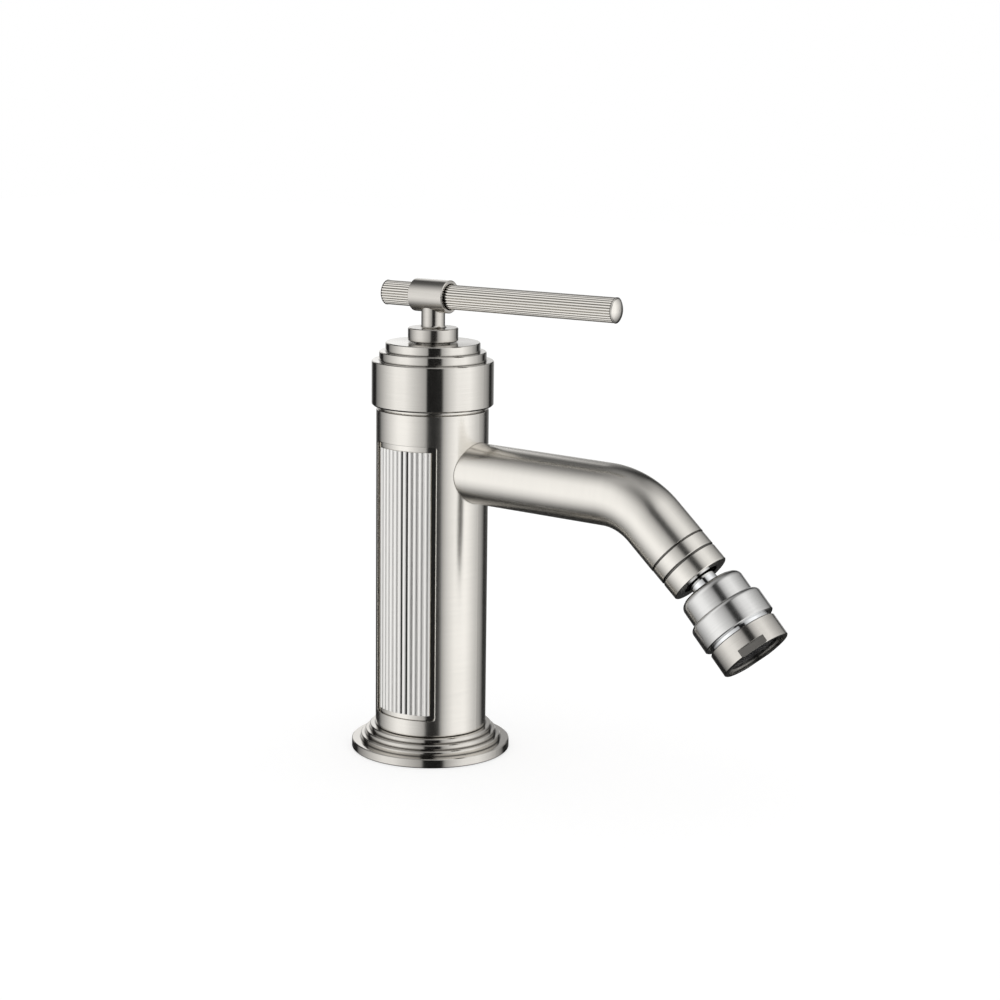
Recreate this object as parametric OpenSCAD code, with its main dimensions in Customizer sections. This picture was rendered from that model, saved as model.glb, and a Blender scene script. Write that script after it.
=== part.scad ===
// Single-lever bidet mixer: a fluted column on a stepped base, a reeded lever bar on a stepped cap,
// a bent spout and an aerator on a ball joint.
// Millimetres. Origin at the centre of the base underside, +Z up, +X along the spout.

/* [Base] */
// Height of the upright rim of the base flange
flange_rim_h = 3.3; // [2.8:0.1:8]
// Width of the flange outside its lowest ring
flange_brim = 3.25; // [2:0.05:10]
// Number of rings stepped on the flange
base_rings = 3; // [1:1:5]
// Height of one ring
base_ring_h = 1.8; // [1:0.1:4]
// Tread of one ring
base_ring_w = 1.65; // [1:0.05:4]
// Ledge of the top ring outside the column
base_ledge = 2.05; // [1:0.05:5]
// Shoulder of the column over its foot, on the radius
foot_shoulder = 3; // [2:0.1:4]
// Width of the deck gasket
gasket_w = 4; // [2:0.1:5]
// Thickness of the deck gasket
gasket_t = 2; // [1:0.1:2.4]
// Distance of the gasket from the flange's bore
gasket_inset = 2.4; // [1.5:0.1:3]

/* [Column] */
// Diameter of the column
col_d = 40; // [37:0.5:60]
// Height of the column from the base rings to its top edge
col_h = 115.8; // [90:0.1:220]
// Height of the shadow gap under the cap
reveal_h = 1.1; // [0.5:0.1:4]
// Depth of the shadow gap, on the radius
reveal_depth = 1.2; // [0.6:0.1:2]
// Length of the column's neck inside the cap
neck_engage = 8; // [5:0.5:14]
// Broken edges of the turned pieces
edge = 0.3; // [0.1:0.05:0.5]

/* [Fluted panels] */
// Width of a panel's pocket, straight across
panel_w = 25.2; // [14:0.1:30]
// Height of the pocket's lower edge above the base rings
panel_foot = 5.9; // [3:0.1:30]
// Height of the column above the pocket
panel_head = 11; // [6:0.1:30]
// Radius of the pocket's corners
panel_corner_r = 1; // [0.5:0.1:4]
// Depth of the panel's flat margin below the column's face
panel_recess = 0.7; // [0.3:0.05:1]
// Thickness of the panel's plate
panel_plate_t = 0.8; // [0.5:0.05:1.2]
// Width of the flat margin round the reeds
panel_margin = 2; // [1:0.1:5]
// Number of reeds on a panel
reed_count = 11; // [5:1:17]
// Slope of the reeds' sides where two reeds meet, in degrees
reed_slope = 40; // [25:1:80]

/* [Cap] */
// Stand-out of the cap's collar from the column, on the radius
cap_proud = 1.65; // [0.5:0.05:4]
// Height of the collar
cap_collar_h = 16; // [14:0.1:30]
// Height of each of the two steps on the collar
cap_step_h = 3.22; // [2:0.02:6]
// Tread of the lower step
lower_step_w = 2.63; // [1:0.01:3]
// Tread of the upper step
upper_step_w = 2.22; // [1:0.02:5]
// Bright bevel on the collar's lower edge
cap_bevel = 0.6; // [0.2:0.1:0.9]
// Metal between the cap's hollow and its upper step
cap_web = 1.3; // [0.8:0.1:2]

/* [Lever] */
// Diameter of the hub's disc
hub_disc_d = 17.8; // [15:0.1:26]
// Height of the hub's disc
hub_disc_h = 4.75; // [4.2:0.05:8]
// Gap between the disc and the cap
hub_gap = 0.4; // [0.2:0.1:1.5]
// Diameter of the hub's stem
stem_d = 8.4; // [5:0.1:11]
// Fillet at the foot of the stem
stem_fillet = 0.9; // [0.3:0.1:1.5]
// Height of the lever bar's axis above the disc
lever_rise = 11.1; // [9:0.1:25]
// Wall of the hub's barrel
barrel_wall = 1.1; // [0.8:0.1:3]
// Length of the hub's barrel
barrel_len = 14.6; // [8:0.1:24]
// Diameter of the lever bar over its flutes
rod_d = 8.7; // [6:0.1:14]
// Shadow gap between the bar and the barrel
rod_play = 0.35; // [0.1:0.05:0.6]
// Reach of the bar in front of the column's axis
rod_front = 76; // [40:0.5:140]
// Reach of the bar behind the column's axis
rod_back = 21.2; // [14:0.1:60]
// Number of flutes round the bar
rod_flutes = 26; // [14:1:40]
// Depth of the flutes
flute_depth = 0.4; // [0.2:0.05:0.6]
// Height of the domed ends of the bar
rod_dome_h = 1.5; // [0.5:0.1:3]

/* [Spout] */
// Outside diameter of the spout
spout_d = 21.6; // [19.4:0.1:26]
// Wall of the spout
spout_wall = 2.2; // [1.6:0.1:2.4]
// Fall of the spout's straight run in degrees
spout_fall = 1.4; // [0:0.1:6]
// Straight run of the spout from the column's axis
spout_run = 72.9; // [45:0.1:160]
// Radius of the spout's bend
bend_r = 27.2; // [16:0.1:60]
// Angle of the spout's bend in degrees
bend_angle = 41.4; // [20:0.1:60]
// Straight end of the spout after the bend
tip_len = 12.9; // [9:0.1:40]
// Metal between the spout's socket and the cartridge chamber
spout_web = 2.1; // [1.2:0.1:10]
// Step from the spout's outside to its spigot
spigot_step = 2.8; // [2:0.1:3]
// Bore of the spigot
spigot_bore_d = 10; // [6:0.1:10.4]

/* [Ball joint] */
// Visible length of the end ring
end_ring_len = 5.7; // [4.4:0.1:10]
// Visible length of the ball collar
collar_len = 6.8; // [6:0.1:10]
// Width and depth of the grooves between the rings
groove = 0.45; // [0.2:0.05:0.8]
// Mouth of the ball collar
collar_mouth_d = 13.5; // [11:0.1:14.5]
// Diameter of the ball
ball_d = 13; // [12:0.1:14]
// Diameter of the ball's neck
ball_neck_d = 9.7; // [8:0.1:10]
// Waterway through the ball
ball_bore_d = 5.2; // [3:0.1:6]
// Visible length of the neck between collar and dome
neck_gap = 3.9; // [3.6:0.05:12]
// Depth of the ball's centre below the dome's top
ball_depth = 3.7; // [3.2:0.1:4.4]
// Tilt of the head against the spout's end, in degrees
head_tilt = 4.7; // [0:0.1:12]
// Turn of that tilt about the spout's end, in degrees
head_turn = -46; // [-180:1:180]

/* [Aerator head] */
// Diameter of the dome
dome_d = 23; // [21:0.1:23.8]
// Height of the dome
dome_h = 8.75; // [8.2:0.05:16]
// Radius of the dome's top edge
dome_edge_r = 2.6; // [0.5:0.1:4]
// Diameter of the ring under the dome
head_ring_d = 26.6; // [26.4:0.1:34]
// Height of the ring, its rounded shoulder included
head_ring_h = 9.2; // [9:0.05:18]
// Radius of the ring's shoulder
shoulder_r = 1.6; // [0.5:0.1:2]
// Gap between the ring and the aerator cup
cup_gap = 1.5; // [0.5:0.1:4]
// Diameter of the aerator cup
cup_d = 25; // [24.2:0.1:26.8]
// Height of the aerator cup
cup_h = 8.3; // [6.5:0.1:14]
// Depth of the flats for the wrench
wrench_flat_depth = 1; // [0.4:0.05:1.3]
// Height of the flats for the wrench
wrench_flat_h = 2.8; // [1.5:0.1:5]
// Turn of the flats about the head's axis, in degrees
wrench_flat_turn = -33; // [-90:1:90]
// Pitch of the outlet screen's bars
screen_pitch = 1.6; // [1.2:0.1:3]

/* [Fittings below] */
// Core diameter of the inlet threads
inlet_d = 9; // [7:0.1:10]
// Depth of the inlet threads
inlet_depth = 12; // [8:0.5:30]
// Core diameter of the fixing stud's thread
stud_d = 6.8; // [4:0.1:7]
// Depth of the fixing stud's thread
stud_depth = 12; // [8:0.5:30]
// Distance of the fixing stud from the column's axis
stud_x = 9.5; // [8.5:0.1:10.5]

/* [Cartridge] */
// Diameter of the cartridge
cartridge_d = 25.4; // [25:0.1:26]
// Thickness of the cartridge's base
cart_base_t = 4; // [3:0.1:6]
// Thickness of each ceramic disc
disc_t = 3; // [2.4:0.1:4]
// Thickness of the spindle's foot
spindle_foot_t = 3; // [2:0.1:5]
// Thickness of the housing's roof
roof_t = 2.5; // [1.5:0.1:5]
// Length of the nut's thread in the column
nut_thread_h = 4.4; // [3:0.1:8]
// Height of the nut's hexagon
nut_hex_h = 4.5; // [3:0.1:5.5]
// Diameter of the spindle
spindle_d = 10; // [8:0.1:11]
// Diameter of the waterways
port_d = 4.8; // [3.6:0.1:5.2]

/* [Clearances] */
// Gap between fixed pieces that slide together
slide_gap = 0.1; // [0.04:0.01:0.12]
// Gap between pieces that turn on each other
run_gap = 0.06; // [0.03:0.01:0.09]
// Gap round pieces that turn past others without guiding them
free_gap = 0.4; // [0.3:0.05:0.6]

/* [Hidden] */
$fn = 96;

// Colours
nickel = [0.78, 0.76, 0.73];
chrome = [0.86, 0.87, 0.89];
brass = [0.80, 0.66, 0.36];
steel = [0.62, 0.62, 0.63];
rubber = [0.10, 0.10, 0.11];
ceramic = [0.93, 0.92, 0.88];
resin = [0.55, 0.56, 0.58];

// Overrun of cuts past a face
through = 1;

// Column and base
col_r = col_d / 2;
foot_r = col_r - foot_shoulder;
flange_bore_r = foot_r + slide_gap;
base_top = flange_rim_h + base_rings * base_ring_h;
top_ring_r = col_r + base_ledge;
flange_r = top_ring_r + (base_rings - 1) * base_ring_w + flange_brim;
gasket_r = flange_bore_r + gasket_inset;
col_top = base_top + col_h;
neck_r = col_r - reveal_depth;

// Cap
cap_r = col_r + cap_proud;
cap_bottom = col_top + reveal_h;
cap_shoulder = cap_bottom + cap_collar_h;
cap_step = cap_shoulder + cap_step_h;
cap_top = cap_step + cap_step_h;
lower_step_r = cap_r - lower_step_w;
upper_step_r = lower_step_r - upper_step_w;
neck_top = cap_bottom + neck_engage;
cap_roof = cap_step - cap_web;

// Cartridge, from the chamber's floor up
chamber_r = cartridge_d / 2 + slide_gap;
cart_r = cartridge_d / 2;
housing_wall = 1.4;
disc_r = cart_r - housing_wall - free_gap;
housing_rise = 0.5;
housing_neck_wall = 3.2;
nut_land = 0.9;
nut_room = 1.6;
spindle_foot_step = 1;
spindle_rise = 0.8;
stack_h = cart_base_t + 2 * disc_t + spindle_foot_t + roof_t + 2 * run_gap;
chamber_floor = neck_top - nut_thread_h - stack_h;
fixed_disc_z = chamber_floor + cart_base_t;
moving_disc_z = fixed_disc_z + disc_t + run_gap;
spindle_foot_z = moving_disc_z + disc_t;
roof_z = spindle_foot_z + spindle_foot_t + run_gap;
housing_shoulder = roof_z + roof_t;
nut_top = neck_top + nut_hex_h;
housing_top = nut_top + housing_rise;
housing_neck_r = spindle_d / 2 + housing_neck_wall;
nut_hex_r = chamber_r + nut_land;
cap_hollow_r = nut_hex_r + nut_room;
spindle_r = spindle_d / 2;
spindle_foot_r = disc_r - spindle_foot_step;
spindle_shoulder = housing_top + spindle_rise;

// Waterways of the cartridge
port_r = port_d / 2;
port_rim = 0.5;
port_circle_r = disc_r - port_r - port_rim;
inlet_angles = [120, 240];
outlet_inset = 2.6;
outlet_x = port_circle_r - outlet_inset;
seal_section_r = 0.65;
seal_land = 0.3;
seal_ring_r = port_r + seal_land + seal_section_r;
seal_pocket_h = 2 * seal_section_r;
peg_r = 1.1;
peg_len = 2;
peg_offset = 1;
peg_circle_r = port_circle_r + peg_offset;
peg_angles = [60, 300];
tongue_w = 3;
tongue_h = 1.2;

// Kidney ports of the fixed disc and the window of the moving disc, in degrees about the axis
cold_port = [104, 150];
hot_port = [165, 252];
window_middle = 75;
window_half = 24;

// Lever
hub_bottom = cap_top + hub_gap;
hub_top = hub_bottom + hub_disc_h;
hub_disc_r = hub_disc_d / 2;
lever_z = hub_top + lever_rise;
stem_r = stem_d / 2;
rod_r = rod_d / 2;
rod_button_step = 0.05;
rod_tip_cut = 0.03;
barrel_bore_r = rod_r + rod_play;
barrel_r = barrel_bore_r + barrel_wall;
spindle_head_step = 1;
spindle_head_r = spindle_r - spindle_head_step;
spindle_flat = 0.6;
hub_socket_r = spindle_head_r + slide_gap;
hub_boss_wall = 1.9;
hub_boss_r = hub_socket_r + hub_boss_wall;
hub_boss_gap = 0.3;
hub_boss_z = cap_roof + hub_boss_gap;
hub_roof = 1.6;
spindle_top = hub_top - hub_roof - slide_gap;
cap_hole_r = hub_boss_r + free_gap;
rod_screw_r = 1.5;
rod_screw_socket_r = 0.85;
hub_screw_r = 1.6;
hub_screw_socket_r = 1;
hub_screw_land = 0.5;
hub_screw_z = hub_bottom + hub_screw_r + hub_screw_land;
screw_sink = 0.5;
socket_depth = 1.2;
spindle_ring_r = 0.65;
spindle_groove_z = (housing_shoulder + housing_top) / 2;

// Spout
spout_r = spout_d / 2;
spout_bore_r = spout_r - spout_wall;
spout_seam = 0.06;
socket_r = spout_r - spigot_step;
spigot_r = socket_r - slide_gap;
spigot_bore_r = spigot_bore_d / 2;
spout_z = chamber_floor - spout_web - socket_r;
plenum_wall = 1.1;
socket_floor = outlet_x - port_r - plenum_wall;
spigot_end = outlet_x + port_r + plenum_wall;
spout_screw_r = 1.6;
spout_screw_x = spigot_end + spout_screw_r;
spout_screw_dimple = 0.7;
spout_screw_sink = 0.3;
spout_ring_r = 0.8;
spout_ring_land = 0.5;
spout_ring_inset = 0.4;
spout_ring_s = spout_screw_x + spout_screw_r + spout_ring_land + spout_ring_r;
spout_shoulder = spout_ring_s + spout_ring_r + spout_ring_inset;
spigot_root = 4;
bore_step = spout_shoulder + spigot_root;
bend_swell = 0.08;
bend_lap = 0.05;

// Ball joint, along the spout's end
end_ring_step = 0.1;
end_ring_r = spout_r - end_ring_step;
collar_start = tip_len + end_ring_len;
collar_end = collar_start + collar_len;
ring_spigot_r = spout_bore_r - slide_gap;
ring_spigot_len = 6;
ring_bore_r = 5;
skirt_len = 3;
skirt_bore_r = 8.25;
skirt_wall = 1.05;
skirt_r = skirt_bore_r + skirt_wall;
ring_socket_r = skirt_r + slide_gap;
collar_lip_t = 2;
collar_mouth_r = collar_mouth_d / 2;
stud_flange_r = skirt_bore_r - slide_gap;
stud_flange_t = 2.4;
stud_flange_end = collar_end - collar_lip_t;
stud_flange_start = stud_flange_end - stud_flange_t;
stud_gasket_t = 1.2;
ring_nose_end = stud_flange_start - stud_gasket_t;
ball_s = collar_end + neck_gap + ball_depth;
ball_r = ball_d / 2;
ball_neck_r = ball_neck_d / 2;
ball_bore_r = ball_bore_d / 2;

// Seat of the ball, a shell between two spheres
seat_gap = 0.1;
seat_in_r = ball_r + seat_gap;
seat_t = 1;
seat_out_r = seat_in_r + seat_t;
seat_top = -3;
seat_bottom = 0.35;
pocket_r = seat_out_r + seat_gap;

// Head, along its own axis from the ball's centre
dome_r = dome_d / 2;
dome_top = -ball_depth;
dome_bottom = dome_top + dome_h;
head_ring_r = head_ring_d / 2;
ring_bottom = dome_bottom + head_ring_h;
cup_top = ring_bottom + cup_gap;
cup_bottom = cup_top + cup_h;
cup_r = cup_d / 2;
pocket_relief = 0.05;
pocket_bore_r = pocket_r + pocket_relief;
retainer_ledge = 1.1;
retainer_r = pocket_r + retainer_ledge;
retainer_top = 3;
retainer_gap = 0.25;
retainer_cup_r = ball_r + retainer_gap;
retainer_socket_r = 3.6;
ball_seal_section_r = 0.7;
ball_seal_inset = 1.5;
ball_seal_ring_r = ball_r - ball_seal_inset;
ball_seal_reach = ball_r + ball_seal_section_r + seat_gap;
ball_seal_z = sqrt(pow(ball_seal_reach, 2) - pow(ball_seal_ring_r, 2));
cup_shoulder = 1.2;
cup_neck_r = cup_r - cup_shoulder;
head_socket_r = cup_neck_r + slide_gap;
aerator_gasket_t = 1.5;
thread_len = 5.8;
cup_neck_top = ring_bottom - thread_len;
head_socket_top = cup_neck_top - aerator_gasket_t;
cup_neck_wall = 1.4;
cup_bore_r = cup_neck_r - cup_neck_wall;
rim_wall = 1.7;
rim_recess_h = 1.1;
cup_lip_t = 0.9;
cup_lip_w = 0.5;
cup_lip_r = cup_bore_r - cup_lip_w;
screen_t = 0.8;
screen_bottom = cup_bottom - rim_recess_h - cup_lip_t;
screen_top = screen_bottom - screen_t;
screen_r = cup_bore_r - slide_gap;
screen_rim_w = 1;
screen_bar = 0.45;
insert_r = cup_bore_r - slide_gap;
insert_floor_t = 1.2;
insert_wall = 1;
insert_hole_r = 0.7;
insert_hole_rings = 3;
gasket_hole_r = 8.4;

// A solid cylinder between two heights
module rod_between(r, z0, z1) {
    translate([0, 0, z0]) cylinder(r = r, h = z1 - z0);
}

// A round tube between two heights
module tube_between(r_out, r_in, z0, z1) {
    difference() {
        rod_between(r_out, z0, z1);
        rod_between(r_in, z0 - through, z1 + through);
    }
}

// A seal ring of round section at a height
module seal_ring(r, section_r, z) {
    translate([0, 0, z]) rotate_extrude() translate([r, 0]) circle(section_r);
}

module turned(points) {
    rotate_extrude() polygon(points);
}

// One upright wall and its broken top edge
function stair(r, z0, z1) = [[r, z0], [r, z1 - edge], [r - edge, z1]];

// A flat rectangle with round corners, centred
module rounded_rectangle(w, h, r) {
    square([w - 2 * r, h], center = true);
    square([w, h - 2 * r], center = true);
    for (x = [-1, 1], y = [-1, 1]) translate([x * (w / 2 - r), y * (h / 2 - r)]) circle(r);
}

// A flat ring sector between two angles under 180 degrees apart
module ring_sector(r_in, r_out, a0, a1) {
    far = 2 * r_out / cos((a1 - a0) / 2);
    intersection() {
        difference() {
            circle(r_out);
            circle(r_in);
        }
        polygon([[0, 0], far * [cos(a0), sin(a0)], far * [cos(a1), sin(a1)]]);
    }
}

// Frames: along the spout's straight run, along its end, and along the tilted head
module at_spout() {
    translate([0, 0, spout_z]) rotate([0, 90 + spout_fall, 0]) children();
}

module at_tip() {
    at_spout()
        translate([bend_r * (1 - cos(bend_angle)), 0, spout_run + bend_r * sin(bend_angle)])
            rotate([0, bend_angle, 0]) children();
}

module at_ball() {
    at_tip() translate([0, 0, ball_s]) children();
}

module at_head() {
    at_ball() rotate([0, 0, head_turn]) rotate([0, head_tilt, 0]) rotate([0, 0, -head_turn]) children();
}

// Base

module base_flange() {
    color(nickel)
        difference() {
            turned(concat(
                [[flange_bore_r, 0], [flange_r - edge, 0], [flange_r, edge]],
                stair(flange_r, edge, flange_rim_h),
                [for (k = [0 : base_rings - 1])
                    each stair(top_ring_r + (base_rings - 1 - k) * base_ring_w,
                               flange_rim_h + k * base_ring_h, flange_rim_h + (k + 1) * base_ring_h)],
                [[flange_bore_r, base_top]]
            ));
            tube_between(gasket_r + gasket_w, gasket_r, -through, gasket_t);
        }
}

module deck_gasket() {
    color(rubber) tube_between(gasket_r + gasket_w - slide_gap, gasket_r + slide_gap, 0, gasket_t);
}

// Column

// Straight-sided block of a panel's pocket on the -Y face, drawn in by an inset
module panel_window(inset) {
    panel_h = col_h - panel_foot - panel_head;
    rotate([90, 0, 0])
        linear_extrude(height = col_r + through)
            translate([0, base_top + panel_foot + panel_h / 2])
                rounded_rectangle(panel_w - 2 * inset, panel_h - 2 * inset, panel_corner_r);
}

module column_waterways() {
    for (a = inlet_angles) rotate([0, 0, a]) translate([port_circle_r, 0, 0]) {
        rod_between(inlet_d / 2, -through, inlet_depth);
        rod_between(port_r, 0, chamber_floor + through);
    }
    translate([outlet_x, 0, 0]) rod_between(port_r, spout_z, chamber_floor + through);
    at_spout() {
        rod_between(socket_r, socket_floor, col_r + through);
        rod_between(spout_r + spout_seam, spout_shoulder, col_r + through);
    }
}

module column_body() {
    pocket_floor_r = col_r - panel_recess - panel_plate_t;
    color(nickel)
        difference() {
            turned([
                [0, 0], [foot_r, 0], [foot_r, base_top], [col_r - edge, base_top], [col_r, base_top + edge],
                [col_r, col_top - edge], [col_r - edge, col_top], [neck_r, col_top], [neck_r, neck_top],
                [chamber_r, neck_top], [chamber_r, chamber_floor], [0, chamber_floor]
            ]);
            for (side = [0, 180]) rotate([0, 0, side]) intersection() {
                tube_between(col_r + through, pocket_floor_r, 0, col_top);
                panel_window(0);
            }
            column_waterways();
            translate([stud_x, 0, 0]) rod_between(stud_d / 2, -through, stud_depth);
            translate([spout_screw_x, 0, 0])
                rod_between(spout_screw_r + slide_gap, spout_z, chamber_floor + through);
            for (a = peg_angles) rotate([0, 0, a]) translate([peg_circle_r, 0, 0])
                rod_between(peg_r + slide_gap, chamber_floor - peg_len - slide_gap, chamber_floor + through);
        }
}

// Plate and convex reeds of one panel, on the -Y face
module fluted_panel() {
    plate_out_r = col_r - panel_recess;
    plate_in_r = plate_out_r - panel_plate_t + slide_gap / 2;
    reed_bottom = base_top + panel_foot + panel_margin;
    reed_top = col_top - panel_head - panel_margin;
    reed_span = 2 * (asin(panel_w / 2 / col_r) - panel_margin / col_r * 180 / PI);
    reed_step = reed_span / reed_count;
    reed_r = col_r * sin(reed_step / 2) / (sin(reed_slope - reed_step / 2) + sin(reed_step / 2));
    intersection() {
        tube_between(plate_out_r, plate_in_r, 0, col_top);
        panel_window(slide_gap);
    }
    translate([0, 0, reed_bottom])
        linear_extrude(height = reed_top - reed_bottom)
            difference() {
                for (k = [0 : reed_count - 1])
                    rotate(-90 + (k - (reed_count - 1) / 2) * reed_step)
                        translate([col_r - reed_r, 0]) circle(reed_r, $fn = 32);
                circle(plate_out_r - panel_plate_t / 2);
            }
}

module left_fluted_panel() {
    color(nickel) fluted_panel();
}

module right_fluted_panel() {
    color(nickel) rotate([0, 0, 180]) fluted_panel();
}

// Cap and cartridge

module stepped_cap() {
    skirt_r = neck_r + slide_gap;
    color(nickel)
        turned(concat(
            [[skirt_r, cap_bottom], [cap_r - cap_bevel, cap_bottom], [cap_r, cap_bottom + cap_bevel]],
            stair(cap_r, cap_bottom + cap_bevel, cap_shoulder),
            stair(lower_step_r, cap_shoulder, cap_step),
            stair(upper_step_r, cap_step, cap_top),
            [[cap_hole_r, cap_top], [cap_hole_r, cap_roof], [cap_hollow_r, cap_roof]],
            [[cap_hollow_r, neck_top], [skirt_r, neck_top]]
        ));
}

module cartridge_nut() {
    color(brass)
        difference() {
            union() {
                rod_between(chamber_r - slide_gap / 2, housing_shoulder, neck_top);
                translate([0, 0, neck_top]) cylinder(r = nut_hex_r, h = nut_hex_h, $fn = 6);
            }
            rod_between(housing_neck_r + slide_gap, housing_shoulder - through, nut_top + through);
        }
}

module cartridge_housing() {
    color(resin)
        turned([
            [cart_r - housing_wall, fixed_disc_z], [cart_r, fixed_disc_z], [cart_r, housing_shoulder],
            [housing_neck_r, housing_shoulder], [housing_neck_r, housing_top],
            [spindle_r + run_gap, housing_top], [spindle_r + run_gap, roof_z], [cart_r - housing_wall, roof_z]
        ]);
}

module cartridge_base() {
    color(resin) {
        difference() {
            rod_between(cart_r, chamber_floor, fixed_disc_z);
            for (a = inlet_angles) rotate([0, 0, a]) translate([port_circle_r, 0, 0]) {
                rod_between(port_r, chamber_floor - through, fixed_disc_z + through);
                rod_between(seal_ring_r + seal_section_r, chamber_floor - through,
                            chamber_floor + seal_pocket_h);
            }
            translate([outlet_x, 0, 0]) {
                rod_between(port_r, chamber_floor - through, fixed_disc_z + through);
                rod_between(seal_ring_r + seal_section_r, chamber_floor - through,
                            chamber_floor + seal_pocket_h);
            }
            translate([0, -port_r, fixed_disc_z - cart_base_t / 3])
                cube([outlet_x, 2 * port_r, cart_base_t / 3 + through]);
            rod_between(port_r, fixed_disc_z - cart_base_t / 3, fixed_disc_z + through);
        }
        for (a = peg_angles) rotate([0, 0, a]) translate([peg_circle_r, 0, 0])
            rod_between(peg_r, chamber_floor - peg_len, chamber_floor + cart_base_t / 2);
    }
}

module cartridge_base_seals() {
    color(rubber) {
        for (a = inlet_angles) rotate([0, 0, a]) translate([port_circle_r, 0, 0])
            seal_ring(seal_ring_r, seal_section_r - slide_gap / 4, chamber_floor + seal_section_r);
        translate([outlet_x, 0, 0])
            seal_ring(seal_ring_r, seal_section_r - slide_gap / 4, chamber_floor + seal_section_r);
    }
}

module fixed_ceramic_disc() {
    inner_r = port_circle_r - port_r;
    outer_r = port_circle_r + port_r;
    color(ceramic)
        translate([0, 0, fixed_disc_z])
            linear_extrude(height = disc_t)
                difference() {
                    circle(disc_r);
                    circle(port_r);
                    ring_sector(inner_r, outer_r, cold_port[0], cold_port[1]);
                    ring_sector(inner_r, outer_r, hot_port[0], hot_port[1]);
                }
}

module moving_ceramic_disc() {
    window_depth = disc_t / 2;
    color(ceramic)
        difference() {
            rod_between(disc_r, moving_disc_z, moving_disc_z + disc_t);
            translate([0, 0, moving_disc_z - through])
                linear_extrude(height = window_depth + through) {
                    circle(port_r + port_rim);
                    ring_sector(port_r / 2, port_circle_r + port_r,
                                window_middle - window_half, window_middle + window_half);
                }
            translate([-disc_r, -tongue_w / 2 - slide_gap, spindle_foot_z - tongue_h])
                cube([2 * disc_r, tongue_w + 2 * slide_gap, tongue_h + through]);
        }
}

// Lever

module spindle() {
    groove_r = spindle_r - 2 * spindle_ring_r;
    color(brass)
        difference() {
            union() {
                rod_between(spindle_foot_r, spindle_foot_z, spindle_foot_z + spindle_foot_t);
                intersection() {
                    rod_between(spindle_foot_r, spindle_foot_z - tongue_h, spindle_foot_z + through);
                    translate([-disc_r, -tongue_w / 2, spindle_foot_z - tongue_h + slide_gap])
                        cube([2 * disc_r, tongue_w, tongue_h + through]);
                }
                rod_between(spindle_r, spindle_foot_z, spindle_shoulder);
                rod_between(spindle_head_r, spindle_foot_z, spindle_top);
            }
            tube_between(spindle_r + through, groove_r,
                         spindle_groove_z - spindle_ring_r, spindle_groove_z + spindle_ring_r);
            translate([-spindle_head_r - through, -spindle_head_r, hub_bottom])
                cube([spindle_flat + through, 2 * spindle_head_r, spindle_top]);
        }
}

module spindle_seal() {
    color(rubber) seal_ring(spindle_r - spindle_ring_r, spindle_ring_r - slide_gap / 4, spindle_groove_z);
}

module hub_barrel() {
    half = barrel_len / 2;
    translate([0, 0, lever_z]) rotate([0, 90, 0])
        turned([
            [0, -half], [barrel_r - edge, -half], [barrel_r, edge - half], [barrel_r, half - edge],
            [barrel_r - edge, half], [0, half]
        ]);
}

module lever_hub() {
    color(nickel)
        difference() {
            union() {
                turned(concat(
                    [[0, hub_boss_z], [hub_boss_r, hub_boss_z], [hub_boss_r, hub_bottom]],
                    [[hub_disc_r - edge, hub_bottom], [hub_disc_r, hub_bottom + edge]],
                    stair(hub_disc_r, hub_bottom + edge, hub_top),
                    [[0, hub_top]]
                ));
                rod_between(stem_r, hub_top, lever_z);
                translate([0, 0, hub_top]) rotate_extrude() difference() {
                    square([stem_r + stem_fillet, stem_fillet]);
                    translate([stem_r + stem_fillet, stem_fillet]) circle(stem_fillet);
                }
                hub_barrel();
            }
            rod_between(hub_socket_r, hub_boss_z - through, hub_top - hub_roof);
            translate([-barrel_len, 0, lever_z]) rotate([0, 90, 0])
                cylinder(r = barrel_bore_r, h = 2 * barrel_len);
            translate([0, 0, lever_z]) rotate([-90, 0, 0])
                cylinder(r = rod_screw_r + slide_gap, h = barrel_r + through);
            translate([0, 0, hub_screw_z]) rotate([0, -90, 0])
                cylinder(r = hub_screw_r + slide_gap, h = hub_disc_r + through);
        }
}

module lever_rod() {
    core_r = rod_r - flute_depth;
    flute_step = 360 / rod_flutes;
    flute_r = rod_r * sin(flute_step / 2) / (1 + sin(flute_step / 2));
    button_r = rod_r + rod_button_step;
    dome_sphere_r = (pow(button_r, 2) + pow(rod_dome_h, 2)) / (2 * rod_dome_h);
    flute_front = rod_front - rod_dome_h;
    flute_back = rod_back - rod_dome_h;
    color(nickel)
        translate([0, 0, lever_z]) rotate([0, 90, 0]) {
            translate([0, 0, -flute_back])
                linear_extrude(height = flute_front + flute_back) {
                    circle(core_r);
                    for (k = [0 : rod_flutes - 1])
                        rotate(k * flute_step) translate([rod_r - flute_r, 0]) circle(flute_r, $fn = 24);
                }
            intersection() {
                translate([0, 0, rod_front + rod_tip_cut - dome_sphere_r]) sphere(dome_sphere_r);
                rod_between(rod_r + through, flute_front, rod_front);
            }
            intersection() {
                translate([0, 0, dome_sphere_r - rod_back - rod_tip_cut]) sphere(dome_sphere_r);
                rod_between(rod_r + through, -rod_back, -flute_back);
            }
        }
}

// A grub screw along +Z from its tip to its slotted face, with a hexagon socket
module grub_screw(r, socket_r, length) {
    difference() {
        rod_between(r, 0, length);
        translate([0, 0, length - socket_depth]) cylinder(r = socket_r, h = socket_depth + through, $fn = 6);
    }
}

module rod_grub_screw() {
    tip = rod_r + slide_gap;
    color(steel)
        translate([0, 0, lever_z]) rotate([-90, 0, 0])
            translate([0, 0, tip]) grub_screw(rod_screw_r, rod_screw_socket_r, barrel_r - tip - slide_gap);
}

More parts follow.
